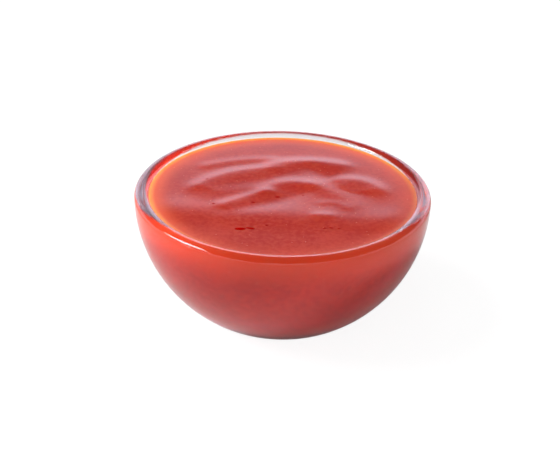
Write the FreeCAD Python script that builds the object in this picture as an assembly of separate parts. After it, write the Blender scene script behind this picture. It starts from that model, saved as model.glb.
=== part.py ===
import FreeCAD, Part
import math
import os
from collections import namedtuple

# A small pressed-glass bowl, filled almost to the brim with stirred chilli sauce.
# Millimetres. +Z is up, and the origin is the centre of the foot, on the table.

# Glass bowl
outer_diameter = 80.0
bowl_height = 33.7
wall = 3.9                    # the side's thickness, and the width of the half-round rim
floor_thickness = 4.6         # glass under the sauce, measured from the table
floor_corner_radius = 9.0     # inside, between floor and side
foot_diameter = 46.6          # where the side would meet the table with a sharp edge
foot_edge_radius = 0.6
ring_width = 3.6              # the flat ring that the bowl stands on
hollow_depth = 0.8            # the shallow hollow inside that ring
hollow_edge_radius = 0.7

# Sauce
sauce_drop = 1.15             # from the rim's top down to the sauce's edge
calm_edge = 6.5               # beside the glass, the stir marks fade out over this width
meniscus_rise = 0.10          # the sauce clings to the glass by this much
meniscus_width = 1.3
surface_spacing = 1.4         # between the places that the sauce's surface passes through

# Marks that the spoon left. Each is an arc through three places on the surface, seen
# from above: a ridge where its height is positive, a groove where it is negative.
# The widths go from the crest to the steepest part of its outer and its inner flank.
StirMark = namedtuple("StirMark", "start middle end height outer_width inner_width")
stir_marks = {
    "back_streak": StirMark((-21.5, 15.6), (-13.0, 19.3), (-3.0, 20.9), 0.09, 1.4, 1.6),
    "back_left_ridge": StirMark((-22.4, 3.2), (-16.0, 9.7), (-5.2, 13.8), 0.31, 1.9, 4.0),
    "back_ridge": StirMark((-1.8, 17.3), (7.5, 19.4), (15.0, 18.2), 0.35, 1.9, 3.4),
    "back_hollow": StirMark((8.0, 15.6), (11.2, 10.8), (14.0, 7.4), -0.15, 2.2, 2.2),
    "left_swell": StirMark((-20.1, -3.1), (-14.1, 0.1), (-8.0, 1.7), 0.07, 2.2, 2.2),
    "middle_ridge": StirMark((-15.3, -8.4), (-9.3, -3.6), (-4.8, -0.7), 0.20, 1.5, 2.6),
    "middle_crest": StirMark((-4.2, 1.0), (1.2, 5.6), (6.0, 5.4), 0.26, 2.0, 2.8),
    "middle_arm": StirMark((8.5, 4.0), (14.5, -0.8), (18.0, -6.6), 0.14, 2.6, 2.6),
    "middle_groove": StirMark((-15.1, -11.3), (-4.0, -7.5), (6.0, 0.7), -0.10, 2.2, 2.2),
    "right_ridge": StirMark((16.5, 7.9), (20.8, 7.8), (25.5, 3.5), 0.29, 1.9, 3.8),
    "front_curl": StirMark((10.5, -6.2), (13.5, -6.0), (17.0, -9.0), 0.05, 1.1, 1.1),
    "front_dab": StirMark((9.6, -13.5), (10.6, -13.4), (11.6, -13.5), 0.13, 1.2, 1.8),
    "front_swell": StirMark((-27.1, -11.8), (0.0, -13.8), (28.1, -15.3), 0.24, 4.5, 4.5),
}

# What follows from those sizes
outer_radius = outer_diameter / 2
foot_radius = foot_diameter / 2
rim_radius = wall / 2
rim_level = bowl_height - rim_radius
spread = outer_radius - foot_radius
side_radius = (spread ** 2 + rim_level ** 2) / (2 * spread)
side_centre_x = outer_radius - side_radius
inner_side_radius = side_radius - wall
sauce_level = bowl_height - sauce_drop


def point(x, z):
    """A place on the bowl's half section."""
    return FreeCAD.Vector(x, 0, z)


def line(start, end):
    return Part.LineSegment(start, end).toShape()


def arc(centre, radius, from_degrees, to_degrees):
    """An arc of the half section, from one angle to another about its centre."""
    places = []
    for degrees in (from_degrees, (from_degrees + to_degrees) / 2, to_degrees):
        angle = math.radians(degrees)
        places.append(centre + point(radius * math.cos(angle), radius * math.sin(angle)))
    return Part.Arc(*places).toShape()


def corner_centre(side, floor_z, corner):
    """Centre of a rounding that touches a level floor and, from inside, the side's arc."""
    height = rim_level - floor_z - corner
    return point(side_centre_x + math.sqrt((side - corner) ** 2 - height ** 2), floor_z + corner)


def rising_edges(side, floor_z, corner):
    """The rounded corner and the side above it, from the floor up to the rim's level."""
    side_centre = point(side_centre_x, rim_level)
    centre = corner_centre(side, floor_z, corner)
    towards = centre - side_centre
    meeting = math.degrees(math.atan2(towards.z, towards.x))
    return [
        arc(centre, corner, -90, meeting),
        arc(side_centre, side, meeting, 0),
    ]


def inside_edges():
    """The bowl's inside from the middle of its floor to the middle of the rim's top."""
    centre = corner_centre(inner_side_radius, floor_thickness, floor_corner_radius)
    rim_centre = point(outer_radius - rim_radius, rim_level)
    return [
        line(point(0, floor_thickness), point(centre.x, floor_thickness)),
        *rising_edges(inner_side_radius, floor_thickness, floor_corner_radius),
        arc(rim_centre, rim_radius, 180, 90),
    ]


def inside_radius(z):
    """Distance from the axis to the bowl's inside, at a height above the floor's corner."""
    if z > rim_level:
        return outer_radius - rim_radius - math.sqrt(rim_radius ** 2 - (z - rim_level) ** 2)
    return side_centre_x + math.sqrt(inner_side_radius ** 2 - (rim_level - z) ** 2)


def revolve(edges):
    """Turn a closed half section about the bowl's axis."""
    wire = Part.Wire(Part.__sortEdges__(edges))
    return Part.Face(wire).revolve(FreeCAD.Vector(0, 0, 0), FreeCAD.Vector(0, 0, 1), 360)


def make_bowl():
    foot_centre = corner_centre(side_radius, 0, foot_edge_radius)
    hollow_foot = foot_centre.x - ring_width
    hollow_top = hollow_foot - hollow_depth
    rim_centre = point(outer_radius - rim_radius, rim_level)
    outside_edges = [
        line(point(0, hollow_depth), point(hollow_top, hollow_depth)),
        line(point(hollow_top, hollow_depth), point(hollow_foot, 0)),
        line(point(hollow_foot, 0), point(foot_centre.x, 0)),
        *rising_edges(side_radius, 0, foot_edge_radius),
        arc(rim_centre, rim_radius, 0, 90),
    ]
    axis_edge = line(point(0, hollow_depth), point(0, floor_thickness))
    bowl = revolve(outside_edges + inside_edges() + [axis_edge])
    hollow_edges = [
        edge for edge in bowl.Edges
        if edge.BoundBox.ZLength < 0.001
        and min(abs(edge.BoundBox.XMax - hollow_foot), abs(edge.BoundBox.XMax - hollow_top)) < 0.01
    ]
    return bowl.makeFillet(hollow_edge_radius, hollow_edges)


def smooth_step(value):
    value = min(max(value, 0.0), 1.0)
    return value * value * (3 - 2 * value)


def turn_between(centre, first, second):
    """The angle from one place to another about a centre, the short way round."""
    angle = math.atan2(second[1] - centre.y, second[0] - centre.x)
    angle -= math.atan2(first[1] - centre.y, first[0] - centre.x)
    return math.remainder(angle, math.tau)


def mark_height(mark, x, y):
    """How far one stir mark lifts the surface at a place: a bell across it and past its ends."""
    places = [FreeCAD.Vector(*place, 0) for place in (mark.start, mark.middle, mark.end)]
    circle = Part.Arc(*places).toShape().Curve
    centre = circle.Center
    ends = sorted(turn_between(centre, mark.middle, place) for place in (mark.start, mark.end))
    turn = turn_between(centre, mark.middle, (x, y))
    past_end = max(ends[0] - turn, turn - ends[1], 0.0) * circle.Radius
    beside = math.hypot(x - centre.x, y - centre.y) - circle.Radius
    flank_width = mark.outer_width if beside > 0 else mark.inner_width
    end_width = (mark.outer_width + mark.inner_width) / 2
    distance = math.hypot(beside / flank_width, past_end / end_width)
    return mark.height * math.exp(-0.5 * distance ** 2)


def surface_height(x, y):
    """Height of the stirred surface, which lies calm beside the glass and clings to it."""
    from_glass = inside_radius(sauce_level) - math.hypot(x, y)
    stirred = sum(mark_height(mark, x, y) for mark in stir_marks.values())
    clinging = meniscus_rise * math.exp(-max(from_glass, 0.0) / meniscus_width)
    return sauce_level - meniscus_rise + clinging + stirred * smooth_step(from_glass / calm_edge)


def make_sauce():
    top_edges = [
        line(point(outer_radius - rim_radius, bowl_height), point(0, bowl_height)),
        line(point(0, bowl_height), point(0, floor_thickness)),
    ]
    room_inside = revolve(inside_edges() + top_edges)
    reach = math.ceil(outer_radius / surface_spacing)
    places = [surface_spacing * index for index in range(-reach, reach + 1)]
    surface = Part.BSplineSurface()
    surface.interpolate([
        [FreeCAD.Vector(x, y, surface_height(x, y)) for y in places]
        for x in places
    ])
    air = surface.toShape().extrude(FreeCAD.Vector(0, 0, bowl_height))
    return room_inside.cut(air)


def save(name, shape):
    solids = shape.Solids
    if len(solids) != 1 or not shape.isValid():
        raise RuntimeError(f"{name} is not one sound solid")
    solids[0].exportStep(f"parts/{name}.step")
    print(f"{name}: {solids[0].Volume / 1000:.2f} ml")


os.makedirs("parts", exist_ok=True)
save("bowl", make_bowl())
save("sauce", make_sauce())
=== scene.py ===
import math
import random
import bpy
from mathutils import Matrix, Vector


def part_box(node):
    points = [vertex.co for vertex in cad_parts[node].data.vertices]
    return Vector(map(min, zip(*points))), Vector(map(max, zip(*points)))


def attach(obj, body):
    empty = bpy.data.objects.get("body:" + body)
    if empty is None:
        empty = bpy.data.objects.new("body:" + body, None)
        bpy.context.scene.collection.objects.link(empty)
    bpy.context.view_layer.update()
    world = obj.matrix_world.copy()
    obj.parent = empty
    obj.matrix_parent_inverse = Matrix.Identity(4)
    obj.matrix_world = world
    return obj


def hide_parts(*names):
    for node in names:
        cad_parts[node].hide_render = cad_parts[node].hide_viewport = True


# A small glass bowl of stirred chilli sauce, dressed for rendering.
# Everything is in metres, in the frame of the CAD part; mm turns millimetres into metres.

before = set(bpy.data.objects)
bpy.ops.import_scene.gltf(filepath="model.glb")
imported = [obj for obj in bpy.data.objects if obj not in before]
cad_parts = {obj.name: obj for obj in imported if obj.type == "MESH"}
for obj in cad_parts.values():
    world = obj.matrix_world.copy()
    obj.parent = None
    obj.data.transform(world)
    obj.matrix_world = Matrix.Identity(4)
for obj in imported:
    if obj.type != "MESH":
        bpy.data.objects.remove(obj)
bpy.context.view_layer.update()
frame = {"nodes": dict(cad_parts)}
mm = 0.001

_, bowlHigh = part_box("bowl")
sauceLow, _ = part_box("sauce")
bowlMiddle = Vector((0, 0, bowlHigh[2] / 2))
print("frame loaded:", ", ".join(frame["nodes"]))


class Wire:
    # a socket that can be written in sums
    def __init__(self, shade, socket):
        self.shade = shade
        self.socket = socket

    def maths(self, operation, first, second):
        node = self.shade.node("ShaderNodeMath", {"operation": operation}, [first, second])
        return Wire(self.shade, node.outputs[0])

    def __add__(self, other):
        return self.maths("ADD", self, other)

    def __radd__(self, other):
        return self.maths("ADD", other, self)

    def __sub__(self, other):
        return self.maths("SUBTRACT", self, other)

    def __rsub__(self, other):
        return self.maths("SUBTRACT", other, self)

    def __mul__(self, other):
        return self.maths("MULTIPLY", self, other)

    def __rmul__(self, other):
        return self.maths("MULTIPLY", other, self)

    def __pow__(self, other):
        return self.maths("POWER", self, other)


class Shade:
    # the nodes of one material or of the world
    def __init__(self, tree):
        self.tree = tree
        tree.nodes.clear()

    def node(self, kind, settings, inputs):
        made = self.tree.nodes.new(kind)
        for name, value in settings.items():
            setattr(made, name, value)
        pairs = inputs.items() if isinstance(inputs, dict) else enumerate(inputs)
        for key, value in pairs:
            if isinstance(value, Wire):
                self.tree.links.new(value.socket, made.inputs[key])
            else:
                made.inputs[key].default_value = value
        return made

    def wire(self, kind, settings, inputs, output=0):
        return Wire(self, self.node(kind, settings, inputs).outputs[output])

    def spot(self, coordinates="Object"):
        return self.wire("ShaderNodeTexCoord", {}, {}, coordinates)

    def noise(self, where, size, detail=2.0, rough=0.5):
        # size is the size of one blotch in metres
        return self.wire("ShaderNodeTexNoise", {}, {
            "Vector": where, "Scale": 1 / size, "Detail": detail, "Roughness": rough}, "Fac")

    def along(self, vector, axis):
        return self.wire("ShaderNodeSeparateXYZ", {}, [vector], axis)

    def fromAxis(self, where):
        # distance from the bowl's upright axis
        level = self.wire("ShaderNodeVectorMath", {"operation": "MULTIPLY"}, [where, (1, 1, 0)])
        return self.wire("ShaderNodeVectorMath", {"operation": "LENGTH"}, [level], "Value")

    def step(self, value, low, high, bottom=0.0, top=1.0):
        # bottom up to low, top from high on, and a smooth change in between
        return self.wire("ShaderNodeMapRange", {"interpolation_type": "SMOOTHSTEP"}, {
            "Value": value, "From Min": low, "From Max": high,
            "To Min": bottom, "To Max": top}, "Result")

    def blend(self, factor, first, second):
        return self.wire("ShaderNodeMix", {"data_type": "RGBA"}, {
            "Factor": factor, "A": first, "B": second}, 2)

    def bump(self, height, depth, under=None):
        # under is another bump, for this one to lie on
        inputs = {"Height": height, "Distance": depth}
        if under is not None:
            inputs["Normal"] = under
        return self.wire("ShaderNodeBump", {}, inputs, "Normal")

    def finish(self, shader, volume=None):
        inputs = {"Surface": shader}
        if volume is not None:
            inputs["Volume"] = volume
        self.node("ShaderNodeOutputMaterial", {}, inputs)


def newMaterial(name):
    material = bpy.data.materials.new(name)
    material.use_nodes = True
    return material, Shade(material.node_tree)


def colour(red, green, blue):
    return (red, green, blue, 1.0)


def startProfile(name, place):
    # a lone point, to draw a lathe profile from in the plane of X and Z
    bpy.ops.object.select_all(action="DESELECT")
    bpy.ops.mesh.primitive_circle_add(vertices=3, radius=mm)
    piece = bpy.context.object
    piece.name = name
    piece.data.name = name
    bpy.ops.object.mode_set(mode="EDIT")
    bpy.ops.mesh.select_mode(type="VERT")
    bpy.ops.mesh.select_all(action="SELECT")
    bpy.ops.mesh.merge(type="CENTER")
    bpy.ops.transform.translate(value=place)
    return piece


def drawLine(start, end, steps):
    stride = (Vector(end) - Vector(start)) / steps
    for _ in range(steps):
        bpy.ops.mesh.extrude_region_move(TRANSFORM_OT_translate={"value": stride})


def drawArc(centre, degrees, steps):
    # from the last point, anticlockwise as seen from the front
    bpy.ops.mesh.spin(steps=steps, angle=math.radians(degrees), center=centre, axis=(0, 1, 0))


def turnOnLathe(segments):
    # the profile goes once round the upright axis, and its ends close up there
    bpy.ops.mesh.select_all(action="SELECT")
    bpy.ops.mesh.spin(steps=segments, angle=math.tau, center=(0, 0, 0), axis=(0, 0, 1))
    bpy.ops.mesh.select_all(action="SELECT")
    bpy.ops.mesh.remove_doubles(threshold=0.002 * mm)
    bpy.ops.mesh.normals_make_consistent(inside=False)
    bpy.ops.object.mode_set(mode="OBJECT")


def angleOf(vector):
    return math.degrees(math.atan2(vector[2], vector[0]))


glassBowl = {
    "wall": 3.9 * mm,
    "floorCorner": 9.0 * mm,            # inside, between floor and side
    "footRadius": 23.3 * mm,            # where the side would meet the table with a sharp edge
    "footEdge": 0.6 * mm,
    "ringWidth": 3.6 * mm,              # the flat ring that the bowl stands on
    "hollowDepth": 0.8 * mm,            # the shallow hollow inside that ring
    "rimEdge": 1.3 * mm,                # radius of the rim's two rounded edges
    "rimTurn": 65,                      # degrees that each of them turns, up to the crown
    "segments": 256,
    "tint": (0.985, 0.965, 0.985),
    "densityTint": (0.50, 0.28, 0.46),  # the colour that light takes on, over a long way inside
    "density": 6,
    "waveSize": 9 * mm,
    "waveDepth": 0.010 * mm,
    "streakWidth": 0.35 * mm,           # fine lines drawn round the rim in pressing
    "streakDepth": 0.05 * mm,
    "streakWander": 1.2 * mm,           # how far the lines stray
    "streakRun": 14 * mm,               # over how long a stretch
    "streaksBelow": (7 * mm, 2 * mm),   # under the rim's top, where they start and are full
}

# The half section follows the CAD part's. Only the rim's top differs: it is a flatter
# crown between two rounded edges.
outerRadius = bowlHigh[0]
edgeRadius = glassBowl["rimEdge"]
turned = math.radians(glassBowl["rimTurn"])
crownRadius = edgeRadius + (glassBowl["wall"] / 2 - edgeRadius) / math.cos(turned)
crownHeight = crownRadius * (1 - math.sin(turned)) + edgeRadius * math.sin(turned)
rimLevel = bowlHigh[2] - crownHeight
spread = outerRadius - glassBowl["footRadius"]
sideRadius = (spread ** 2 + rimLevel ** 2) / (2 * spread)
sideCentre = Vector((outerRadius - sideRadius, 0, rimLevel))
outerEdge = Vector((outerRadius - edgeRadius, 0, rimLevel))
innerEdge = Vector((outerRadius - glassBowl["wall"] + edgeRadius, 0, rimLevel))
crownCentre = Vector((outerRadius - glassBowl["wall"] / 2, 0, bowlHigh[2] - crownRadius))


def cornerCentre(side, floorLevel, corner):
    # a rounding that touches a level floor and, from inside, the side's arc
    height = rimLevel - floorLevel - corner
    across = math.sqrt((side - corner) ** 2 - height ** 2)
    return Vector((sideCentre.x + across, 0, floorLevel + corner))


def drawRise(side, floorLevel, corner, cornerSteps, sideSteps):
    # the rounded corner and the side above it, up to the rim's level
    centre = cornerCentre(side, floorLevel, corner)
    meeting = angleOf(centre - sideCentre)
    drawArc(centre, 90 + meeting, cornerSteps)
    drawArc(sideCentre, -meeting, sideSteps)


def makeGlassBowl():
    sizes = glassBowl
    hollow = sizes["hollowDepth"]
    floorLevel = sauceLow[2]
    footCentre = cornerCentre(sideRadius, 0, sizes["footEdge"])
    hollowFoot = footCentre.x - sizes["ringWidth"]
    innerSide = sideRadius - sizes["wall"]
    innerCentre = cornerCentre(innerSide, floorLevel, sizes["floorCorner"])
    innerMeeting = angleOf(innerCentre - sideCentre)
    # two arcs make a soft step from the hollow down to the ring, twice as wide as high
    stepWidth = 2 * hollow
    stepTurn = math.degrees(2 * math.atan(hollow / stepWidth))
    stepRadius = stepWidth / 2 / math.sin(math.radians(stepTurn))
    hollowTop = hollowFoot - stepWidth
    bowl = startProfile("glassBowl", (0, 0, hollow))
    drawLine((0, 0, hollow), (hollowTop, 0, hollow), steps=6)
    drawArc((hollowTop, 0, hollow - stepRadius), -stepTurn, steps=5)
    drawArc((hollowFoot, 0, stepRadius), stepTurn, steps=5)
    drawLine((hollowFoot, 0, 0), (footCentre.x, 0, 0), steps=3)
    drawRise(sideRadius, 0, sizes["footEdge"], cornerSteps=6, sideSteps=40)
    drawArc(outerEdge, sizes["rimTurn"], steps=12)
    drawArc(crownCentre, 180 - 2 * sizes["rimTurn"], steps=14)
    drawArc(innerEdge, sizes["rimTurn"], steps=12)
    drawArc(sideCentre, innerMeeting, steps=32)
    drawArc(innerCentre, -90 - innerMeeting, steps=12)
    drawLine((innerCentre.x, 0, floorLevel), (0, 0, floorLevel), steps=6)
    turnOnLathe(sizes["segments"])
    bpy.ops.object.shade_smooth()
    bowl.data.materials.append(makeGlass())
    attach(bowl, "root")
    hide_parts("bowl")


def makeGlass():
    looks = glassBowl
    material, shade = newMaterial("clearGlass")
    where = shade.spot()
    height = shade.along(where, "Z")
    waves = shade.bump(shade.noise(where, looks["waveSize"], 1.0), looks["waveDepth"])
    # the streaks change fast outwards and upwards, and slowly round the rim
    stray = shade.noise(where, looks["streakRun"], 1.0) * looks["streakWander"]
    across = shade.wire("ShaderNodeCombineXYZ", {}, [shade.fromAxis(where), height, stray])
    streaks = shade.noise(across, looks["streakWidth"], 2.0, 0.6)
    startBelow, fullBelow = looks["streaksBelow"]
    nearRim = shade.step(height, bowlHigh[2] - startBelow, bowlHigh[2] - fullBelow)
    body = shade.wire("ShaderNodeBsdfPrincipled", {}, {
        "Base Color": colour(*looks["tint"]),
        "Roughness": 0.0,
        "IOR": 1.5,
        "Transmission Weight": 1.0,
        "Normal": shade.bump(streaks * nearRim, looks["streakDepth"], waves),
    })
    # light reaches the sauce straight through the glass
    clear = shade.wire("ShaderNodeBsdfTransparent", {}, {"Color": colour(*looks["tint"])})
    shadow = shade.wire("ShaderNodeLightPath", {}, {}, "Is Shadow Ray")
    mixed = shade.wire("ShaderNodeMixShader", {}, [shadow, body, clear])
    shade.finish(mixed, shade.wire("ShaderNodeVolumeAbsorption", {}, {
        "Color": colour(*looks["densityTint"]), "Density": looks["density"]}))
    return material


chilliSauce = {
    "reachIntoGlass": 0.12 * mm,        # it overlaps the glass, so that no air shows between
    "drop": 1.15 * mm,                  # from the rim's top down to the sauce's edge
    "calmEdge": 6.5 * mm,               # beside the glass, the stir marks fade out over this
    "meniscusRise": 0.10 * mm,          # it clings to the glass by this much
    "meniscusWidth": 1.3 * mm,
    "segments": 256,
    "rings": 100,
    "grain": 1.2 * mm,                  # fine mottling
    "grainDepth": 0.004 * mm,
    "clouds": 12 * mm,                  # the slower change under it
    "grainShare": 0.6,                  # of the mottling, against the clouds
    "mixBetween": (0.36, 0.64),         # from the darker to the lighter red
    "roughness": (0.13, 0.21),          # varies with the grain
    "scatter": (1.0, 0.22, 0.10),       # how far red, green and blue spread inside, times scatterDepth
    "scatterDepth": 1.2 * mm,
    "redDark": (0.35, 0.016, 0.006),
    "redLight": (0.435, 0.031, 0.011),
    # painted light: orange, then yellow at the glass, stands in for light shining through the rim and
    # glowing in the sauce's thin edge
    "edgeGlowOrange": (0.75, 0.105, 0.024),
    "edgeGlowYellow": (0.92, 0.32, 0.055),
    "edgeGlowWidth": 8.0 * mm,              # the painted glow turns the surface orange over this, up to the glass
    "yellowGlowWidth": 2.0 * mm,
    "glowFall": 1.5,                    # above 1, the painted glow keeps closer to the glass
    "paintedGlowTowards": (-0.5, 0.85, 0),     # the side where that painted glow is strongest, the back left, where the key light shines through the rim
    "paintedGlowBetween": (-30 * mm, 14 * mm),
    "leastPaintedGlow": 0.25,
    "sideDark": (0.56, 0.011, 0.006),
    "sideLight": (0.68, 0.024, 0.011),
    # painted light: the side is lighter and more orange towards the top, where more light falls from
    # above and through the rim
    "sideLitOrange": (0.94, 0.082, 0.022),
    "sideLitOrangeDepth": 12.0 * mm,       # under the surface, the painted light turns the side orange over this
}

# Each mark is an arc through three places on the surface: start, middle, end, height,
# then the width of its outer and of its inner flank. All in millimetres.
stirMarks = {
    "backStreak": ((-21.5, 15.6), (-13.0, 19.3), (-3.0, 20.9), 0.09, 1.4, 1.6),
    "backLeftRidge": ((-22.4, 3.2), (-16.0, 9.7), (-5.2, 13.8), 0.31, 1.9, 4.0),
    "backRidge": ((-1.8, 17.3), (7.5, 19.4), (15.0, 18.2), 0.35, 1.9, 3.4),
    "backHollow": ((8.0, 15.6), (11.2, 10.8), (14.0, 7.4), -0.15, 2.2, 2.2),
    "leftSwell": ((-20.1, -3.1), (-14.1, 0.1), (-8.0, 1.7), 0.07, 2.2, 2.2),
    "middleRidge": ((-15.3, -8.4), (-9.3, -3.6), (-4.8, -0.7), 0.20, 1.5, 2.6),
    "middleCrest": ((-4.2, 1.0), (1.2, 5.6), (6.0, 5.4), 0.26, 2.0, 2.8),
    "middleArm": ((8.5, 4.0), (14.5, -0.8), (18.0, -6.6), 0.14, 2.6, 2.6),
    "middleGroove": ((-15.1, -11.3), (-4.0, -7.5), (6.0, 0.7), -0.10, 2.2, 2.2),
    "rightRidge": ((16.5, 7.9), (20.8, 7.8), (25.5, 3.5), 0.29, 1.9, 3.8),
    "frontCurl": ((10.5, -6.2), (13.5, -6.0), (17.0, -9.0), 0.05, 1.1, 1.1),
    "frontDab": ((9.6, -13.5), (10.6, -13.4), (11.6, -13.5), 0.13, 1.2, 1.8),
    "frontSwell": ((-27.1, -11.8), (0.0, -13.8), (28.1, -15.3), 0.24, 4.5, 4.5),
}

sauceLevel = bowlHigh[2] - chilliSauce["drop"]
sauceEdge = innerEdge.x - math.sqrt(
    (edgeRadius - chilliSauce["reachIntoGlass"]) ** 2 - (sauceLevel - rimLevel) ** 2)


def circleThrough(first, second, third):
    # its centre and radius
    (ax, ay), (bx, by), (cx, cy) = first, second, third
    double = 2 * (ax * (by - cy) + bx * (cy - ay) + cx * (ay - by))
    a, b, c = ax * ax + ay * ay, bx * bx + by * by, cx * cx + cy * cy
    x = (a * (by - cy) + b * (cy - ay) + c * (ay - by)) / double
    y = (a * (cx - bx) + b * (ax - cx) + c * (bx - ax)) / double
    return x, y, math.hypot(ax - x, ay - y)


def turnBetween(centre, first, second):
    # the angle from one place to another about a centre, the short way round
    angle = math.atan2(second[1] - centre[1], second[0] - centre[0])
    angle -= math.atan2(first[1] - centre[1], first[0] - centre[0])
    return math.remainder(angle, math.tau)


def calm(x, y):
    # 0 beside the glass, 1 where the spoon has been
    share = min(max((sauceEdge - math.hypot(x, y)) / chilliSauce["calmEdge"], 0.0), 1.0)
    return share * share * (3 - 2 * share)


def markWeight(mark, x, y):
    # a bell across the arc and past its ends; x and y in metres
    start, middle, end, _, outerFlank, innerFlank = mark
    centreX, centreY, radius = circleThrough(start, middle, end)
    centre = (centreX, centreY)
    place = (x / mm, y / mm)
    ends = sorted(turnBetween(centre, middle, tip) for tip in (start, end))
    turn = turnBetween(centre, middle, place)
    pastEnd = max(ends[0] - turn, turn - ends[1], 0.0) * radius
    beside = math.hypot(place[0] - centreX, place[1] - centreY) - radius
    flank = outerFlank if beside > 0 else innerFlank
    distance = math.hypot(beside / flank, pastEnd / ((outerFlank + innerFlank) / 2))
    return math.exp(-0.5 * distance ** 2)


def clingWeight(x, y):
    # 1 at the glass, and soon nothing
    fromGlass = max(sauceEdge - math.hypot(x, y), 0.0)
    return math.exp(-fromGlass / chilliSauce["meniscusWidth"])


def surfaceHeight(x, y):
    stirred = sum(mark[3] * mm * markWeight(mark, x, y) for mark in stirMarks.values())
    clinging = chilliSauce["meniscusRise"] * (clingWeight(x, y) - 1)
    return sauceLevel + clinging + stirred * calm(x, y)


def displaceBy(piece, name, height, weightAt, chosen):
    # one vertex group and one Displace modifier for each thing that lifts the surface
    leastWeight = 0.0005
    group = piece.vertex_groups.new(name=name)
    for index in chosen:
        place = piece.data.vertices[index].co
        weight = weightAt(place.x, place.y)
        if weight > leastWeight:
            group.add([index], weight, "REPLACE")
    lift = piece.modifiers.new(name, "DISPLACE")
    lift.direction = "Z"
    lift.vertex_group = name
    lift.mid_level = 0.0
    lift.strength = height
    bpy.ops.object.modifier_apply(modifier=name)
    piece.vertex_groups.remove(piece.vertex_groups[name])


def makeSauce():
    sizes = chilliSauce
    reach = sizes["reachIntoGlass"]
    side = sideRadius - glassBowl["wall"] + reach
    corner = glassBowl["floorCorner"] + reach
    floorLevel = sauceLow[2] - reach
    calmLevel = sauceLevel - sizes["meniscusRise"]
    edgeRise = math.asin((calmLevel - rimLevel) / (edgeRadius - reach))
    edge = innerEdge.x - (edgeRadius - reach) * math.cos(edgeRise)
    start = cornerCentre(side, floorLevel, corner)
    sauce = startProfile("chilliSauce", (0, 0, floorLevel))
    drawLine((0, 0, floorLevel), (start.x, 0, floorLevel), steps=8)
    drawRise(side, floorLevel, corner, cornerSteps=16, sideSteps=48)
    drawArc(innerEdge, -math.degrees(edgeRise), steps=8)
    drawLine((edge, 0, calmLevel), (0, 0, calmLevel), sizes["rings"])
    turnOnLathe(sizes["segments"])
    justBelow = calmLevel - 0.001 * mm
    surface = [vertex.index for vertex in sauce.data.vertices if vertex.co.z > justBelow]
    for name, mark in stirMarks.items():
        displaceBy(
            sauce, name, mark[3] * mm,
            lambda x, y: markWeight(mark, x, y) * calm(x, y), surface)
    displaceBy(sauce, "meniscus", sizes["meniscusRise"], clingWeight, surface)
    bpy.ops.object.shade_smooth_by_angle(angle=math.radians(35))
    sauce.data.materials.append(makeOpenSauce())
    sauce.data.materials.append(makeSauceInGlass())
    openPlaces = set(surface)
    for face in sauce.data.polygons:
        face.material_index = 0 if openPlaces.issuperset(face.vertices) else 1
    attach(sauce, "root")
    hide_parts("sauce")


def sauceRed(shade, where):
    # the mottling, and the share of the lighter red
    looks = chilliSauce
    mottle = shade.noise(where, looks["grain"], 4.0, 0.6)
    cloud = shade.noise(where, looks["clouds"], 2.0)
    share = looks["grainShare"]
    return mottle, shade.step(mottle * share + cloud * (1 - share), *looks["mixBetween"])


def makeOpenSauce():
    looks = chilliSauce
    material, shade = newMaterial("chilliSauceOpen")
    where = shade.spot()
    mottle, mix = sauceRed(shade, where)
    away = shade.fromAxis(where)
    # painted glow: the surface turns orange, then yellow, up to the glass, most at the back left where
    # light shines through the rim
    edge = shade.step(away, sauceEdge - looks["edgeGlowWidth"], sauceEdge) ** looks["glowFall"]
    rim = shade.step(away, sauceEdge - looks["yellowGlowWidth"], sauceEdge)
    towards = shade.wire("ShaderNodeVectorMath", {"operation": "DOT_PRODUCT"}, [
        where, looks["paintedGlowTowards"]], "Value")
    glow = shade.step(towards, *looks["paintedGlowBetween"], looks["leastPaintedGlow"], 1.0)
    red = shade.blend(mix, colour(*looks["redDark"]), colour(*looks["redLight"]))
    paintedGlow = shade.blend(rim, colour(*looks["edgeGlowOrange"]), colour(*looks["edgeGlowYellow"]))
    shade.finish(shade.wire("ShaderNodeBsdfPrincipled", {}, {
        "Base Color": shade.blend(edge * glow, red, paintedGlow),
        "Roughness": shade.step(mottle, 0.3, 0.7, *looks["roughness"]),
        "IOR": 1.45,
        "Subsurface Weight": 1.0,
        "Subsurface Radius": looks["scatter"],
        "Subsurface Scale": looks["scatterDepth"],
        "Normal": shade.bump(mottle, looks["grainDepth"]),
    }))
    return material


def makeSauceInGlass():
    # wet against the glass, so it has no gloss of its own
    looks = chilliSauce
    material, shade = newMaterial("chilliSauceInGlass")
    where = shade.spot()
    _, mix = sauceRed(shade, where)
    height = shade.along(where, "Z")
    # painted light: lighter and more orange up towards the sauce's top
    paintedTopLight = shade.step(height, sauceLevel - looks["sideLitOrangeDepth"], sauceLevel)
    red = shade.blend(mix, colour(*looks["sideDark"]), colour(*looks["sideLight"]))
    shade.finish(shade.wire("ShaderNodeBsdfPrincipled", {}, {
        "Base Color": shade.blend(paintedTopLight ** looks["glowFall"], red, colour(*looks["sideLitOrange"])),
        "Roughness": 0.6,
        "Specular IOR Level": 0.0,
        "Subsurface Weight": 1.0,
        "Subsurface Radius": looks["scatter"],
        "Subsurface Scale": looks["scatterDepth"],
    }))
    return material


chilliFlecks = {
    # where each lies, then its half length, half width and turn: millimetres and degrees
    "onTop": (
        (-1.4, -3.2, 0.75, 0.35, 10),
        (-7.9, -6.9, 0.70, 0.30, -15),
        (-18.2, -8.4, 0.45, 0.30, 20),
        (-10.6, -21.9, 1.6, 0.75, 4),
        (-8.0, -21.5, 1.3, 0.50, -12),
        (-3.9, -19.7, 0.45, 0.25, 0),
        (10.9, -20.5, 0.50, 0.28, 25),
        (12.6, -20.3, 0.65, 0.26, -8),
        (14.6, -20.6, 0.45, 0.25, 12),
        (5.5, -1.8, 0.35, 0.22, 40),
        (-21.0, 6.4, 0.32, 0.20, -30),
    ),
    "halfThickness": 0.16 * mm,
    "showing": 0.11 * mm,               # how far its top stands out of the sauce
    "red": (0.34, 0.002, 0.001),
}

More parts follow.
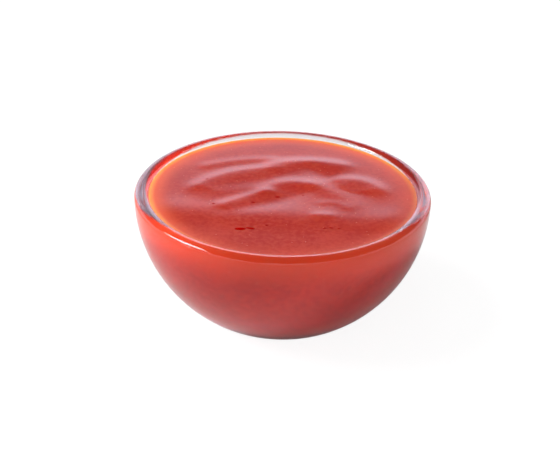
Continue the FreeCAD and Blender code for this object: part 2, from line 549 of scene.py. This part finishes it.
chilliSpecks = {
    "seed": 7,
    "onTop": 150,
    "againstGlass": 240,
    "radius": (0.10 * mm, 0.24 * mm),
    "fromGlass": 1.5 * mm,              # how far the ones on top keep from the glass
    "sunk": 0.7,                        # of their radius
    "belowRim": (1.0, 40.0),            # degrees down the side for the ones against the glass
    "intoGlass": 0.05 * mm,             # how far those reach past the sauce's side
    "pale": (0.92, 0.24, 0.12),
}


def addBit(place, size, turn=0.0, detail=2):
    bpy.ops.mesh.primitive_ico_sphere_add(
        subdivisions=detail, radius=1.0, location=place, rotation=(0, 0, turn), scale=size)
    return bpy.context.object


def joinBits(bits, name, material):
    bpy.ops.object.select_all(action="DESELECT")
    for bit in bits:
        bit.select_set(True)
    bpy.context.view_layer.objects.active = bits[0]
    bpy.ops.object.join()
    piece = bpy.context.object
    piece.name = name
    piece.data.name = name
    bpy.ops.object.transform_apply(location=True, rotation=True, scale=True)
    bpy.ops.object.shade_smooth()
    piece.data.materials.append(material)
    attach(piece, "root")
    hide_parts("sauce")


def bitMaterial(name, red, roughness, shine):
    material, shade = newMaterial(name)
    mottle = shade.noise(shade.spot(), 0.5 * mm)
    darker = tuple(0.75 * channel for channel in red)
    shade.finish(shade.wire("ShaderNodeBsdfPrincipled", {}, {
        "Base Color": shade.blend(mottle, colour(*darker), colour(*red)),
        "Roughness": roughness,
        "Specular IOR Level": shine,
    }))
    return material


def makeFlecks():
    sizes = chilliFlecks
    thickness = sizes["halfThickness"]
    bits = []
    for x, y, length, width, turn in sizes["onTop"]:
        x, y = x * mm, y * mm
        height = surfaceHeight(x, y) + sizes["showing"] - thickness
        size = (length * mm, width * mm, thickness)
        bits.append(addBit((x, y, height), size, math.radians(turn)))
    joinBits(bits, "chilliFlecks", bitMaterial("chilliFleck", sizes["red"], 0.6, 0.0))


def makeSpecks():
    sizes = chilliSpecks
    chance = random.Random(sizes["seed"])
    bits = []
    for _ in range(sizes["onTop"]):
        away = (sauceEdge - sizes["fromGlass"]) * math.sqrt(chance.random())
        angle = chance.uniform(0, math.tau)
        x, y = away * math.cos(angle), away * math.sin(angle)
        radius = chance.uniform(*sizes["radius"])
        height = surfaceHeight(x, y) - sizes["sunk"] * radius
        bits.append(addBit((x, y, height), (radius,) * 3, detail=1))
    side = sideRadius - glassBowl["wall"] + chilliSauce["reachIntoGlass"]
    for _ in range(sizes["againstGlass"]):
        drop = math.radians(chance.uniform(*sizes["belowRim"]))
        angle = chance.uniform(0, math.tau)
        radius = chance.uniform(*sizes["radius"])
        reach = side - radius + sizes["intoGlass"]
        away = sideCentre.x + reach * math.cos(drop)
        place = (away * math.cos(angle), away * math.sin(angle), rimLevel - reach * math.sin(drop))
        bits.append(addBit(place, (radius,) * 3, detail=1))
    joinBits(bits, "chilliSpecks", bitMaterial("chilliSpeck", sizes["pale"], 0.35, 0.3))


camera = {
    "lens": 74.2,
    "distance": 320.3 * mm,             # from the middle of the bowl
    "elevation": 28.8,
    "roll": 1.46,
    "shiftX": -0.0028,
    "shiftY": 0.0219,
}


def makeCamera():
    data = bpy.data.cameras.new("camera")
    data.lens = camera["lens"]
    data.sensor_width = 36.0
    data.shift_x = camera["shiftX"]
    data.shift_y = camera["shiftY"]
    data.clip_start = 0.01
    eye = bpy.data.objects.new("camera", data)
    bpy.context.scene.collection.objects.link(eye)
    elevation = math.radians(camera["elevation"])
    back = Vector((0, -math.cos(elevation), math.sin(elevation)))
    level = (-back).to_track_quat("-Z", "Y").to_matrix()
    turn = level @ Matrix.Rotation(math.radians(camera["roll"]), 3, "Z")
    eye.matrix_world = Matrix.Translation(bowlMiddle + back * camera["distance"]) @ turn.to_4x4()
    bpy.context.scene.camera = eye


softbox = {
    "place": (-0.73, 0.09, 0.82),
    "size": (0.50, 0.34),
    "power": 12.8,
}


def makeSoftbox():
    data = bpy.data.lights.new("key", "AREA")
    data.shape = "RECTANGLE"
    data.size, data.size_y = softbox["size"]
    data.energy = softbox["power"]
    lamp = bpy.data.objects.new("key", data)
    bpy.context.scene.collection.objects.link(lamp)
    place = Vector(softbox["place"])
    turn = (bowlMiddle - place).to_track_quat("-Z", "Y").to_matrix()
    lamp.matrix_world = Matrix.Translation(place) @ turn.to_4x4()


def rayShares(shade):
    # 1 for rays straight from the camera, for mirrored rays and for rays through glass
    rays = shade.node("ShaderNodeLightPath", {}, {})
    seen = Wire(shade, rays.outputs["Is Camera Ray"])
    through = Wire(shade, rays.outputs["Is Transmission Ray"]) * (1 - seen)
    glossy = Wire(shade, rays.outputs["Is Glossy Ray"]) * (1 - seen) * (1 - through)
    return seen, glossy, through


# Mirrored rays and rays through glass see a pale backdrop low down and a dim room over it.
studio = {
    "backdropBelow": 19,                # degrees up from level
    "dimAbove": 30.5,
    "mirroredBackdrop": 1.6,
    "mirroredRoom": 0.14,
    "throughBackdrop": 1.0,
    "throughRoom": 0.25,
    "brighterBehind": 1.3,              # mirrored, behind the bowl
    "behindBetween": (0.1, 0.7),
    "mirroredTint": (0.93, 0.84, 1.0),
    "throughTint": (0.92, 0.80, 0.95),
    "softLight": 0.33,                  # what matt surfaces get from all round
    "frontFill": 1.2,                   # what they get as well, from high in front
    "frontBetween": (0.0, 0.8),
    "upBetween": (0.1, 0.6),
}


def makeWorld():
    world = bpy.data.worlds.new("studio")
    bpy.context.scene.world = world
    world.use_nodes = True
    shade = Shade(world.node_tree)
    seen, glossy, through = rayShares(shade)
    direction = shade.spot("Generated")
    up = shade.along(direction, "Z")
    back = shade.along(direction, "Y")
    behind = shade.step(back, *studio["behindBetween"])
    low = math.sin(math.radians(studio["backdropBelow"]))
    high = math.sin(math.radians(studio["dimAbove"]))
    mirrored = shade.step(up, low, high, studio["mirroredBackdrop"], studio["mirroredRoom"])
    mirrored = mirrored * (1 + (studio["brighterBehind"] - 1) * behind)
    passing = shade.step(up, low, high, studio["throughBackdrop"], studio["throughRoom"])
    front = shade.step(0 - back, *studio["frontBetween"]) * shade.step(up, *studio["upBetween"])
    soft = studio["softLight"] + studio["frontFill"] * front
    rest = 1 - seen - glossy - through
    strength = seen + glossy * mirrored + through * passing + rest * soft
    tint = shade.blend(glossy * behind, colour(1, 1, 1), colour(*studio["mirroredTint"]))
    tint = shade.blend(
        through * shade.step(up, low, high), tint, colour(*studio["throughTint"]))
    sky = shade.wire("ShaderNodeBackground", {}, {"Color": tint, "Strength": strength})
    shade.node("ShaderNodeOutputWorld", {}, {"Surface": sky})


studioFloor = {
    "radius": 3.0,
    "corners": 96,
    "matt": (0.70, 0.70, 0.70),
    "glow": 1.12,                       # white, for rays straight from the camera
    "glowShare": 0.80,                  # the rest shows the bowl's shadow
}


def makeFloor():
    sizes = studioFloor
    bpy.ops.object.select_all(action="DESELECT")
    bpy.ops.mesh.primitive_circle_add(
        vertices=sizes["corners"], radius=sizes["radius"], fill_type="NGON")
    floor = bpy.context.object
    floor.name = "studioFloor"
    material, shade = newMaterial("paleFloor")
    seen, _, _ = rayShares(shade)
    matt = shade.wire("ShaderNodeBsdfDiffuse", {}, {"Color": colour(*sizes["matt"])})
    glow = shade.wire("ShaderNodeEmission", {}, {
        "Color": colour(1, 1, 1), "Strength": sizes["glow"]})
    shade.finish(shade.wire("ShaderNodeMixShader", {}, [seen * sizes["glowShare"], matt, glow]))
    floor.data.materials.append(material)


bpy.context.scene.view_settings.view_transform = "Standard"
bpy.context.scene.cycles.glossy_bounces = 12    # light runs a long way round inside the rim
makeGlassBowl()
print("glass bowl turned")
makeSauce()
print("sauce poured and stirred")
makeFlecks()
makeSpecks()
print("flecks and specks scattered")
makeFloor()
makeWorld()
makeSoftbox()
makeCamera()
print("studio set")
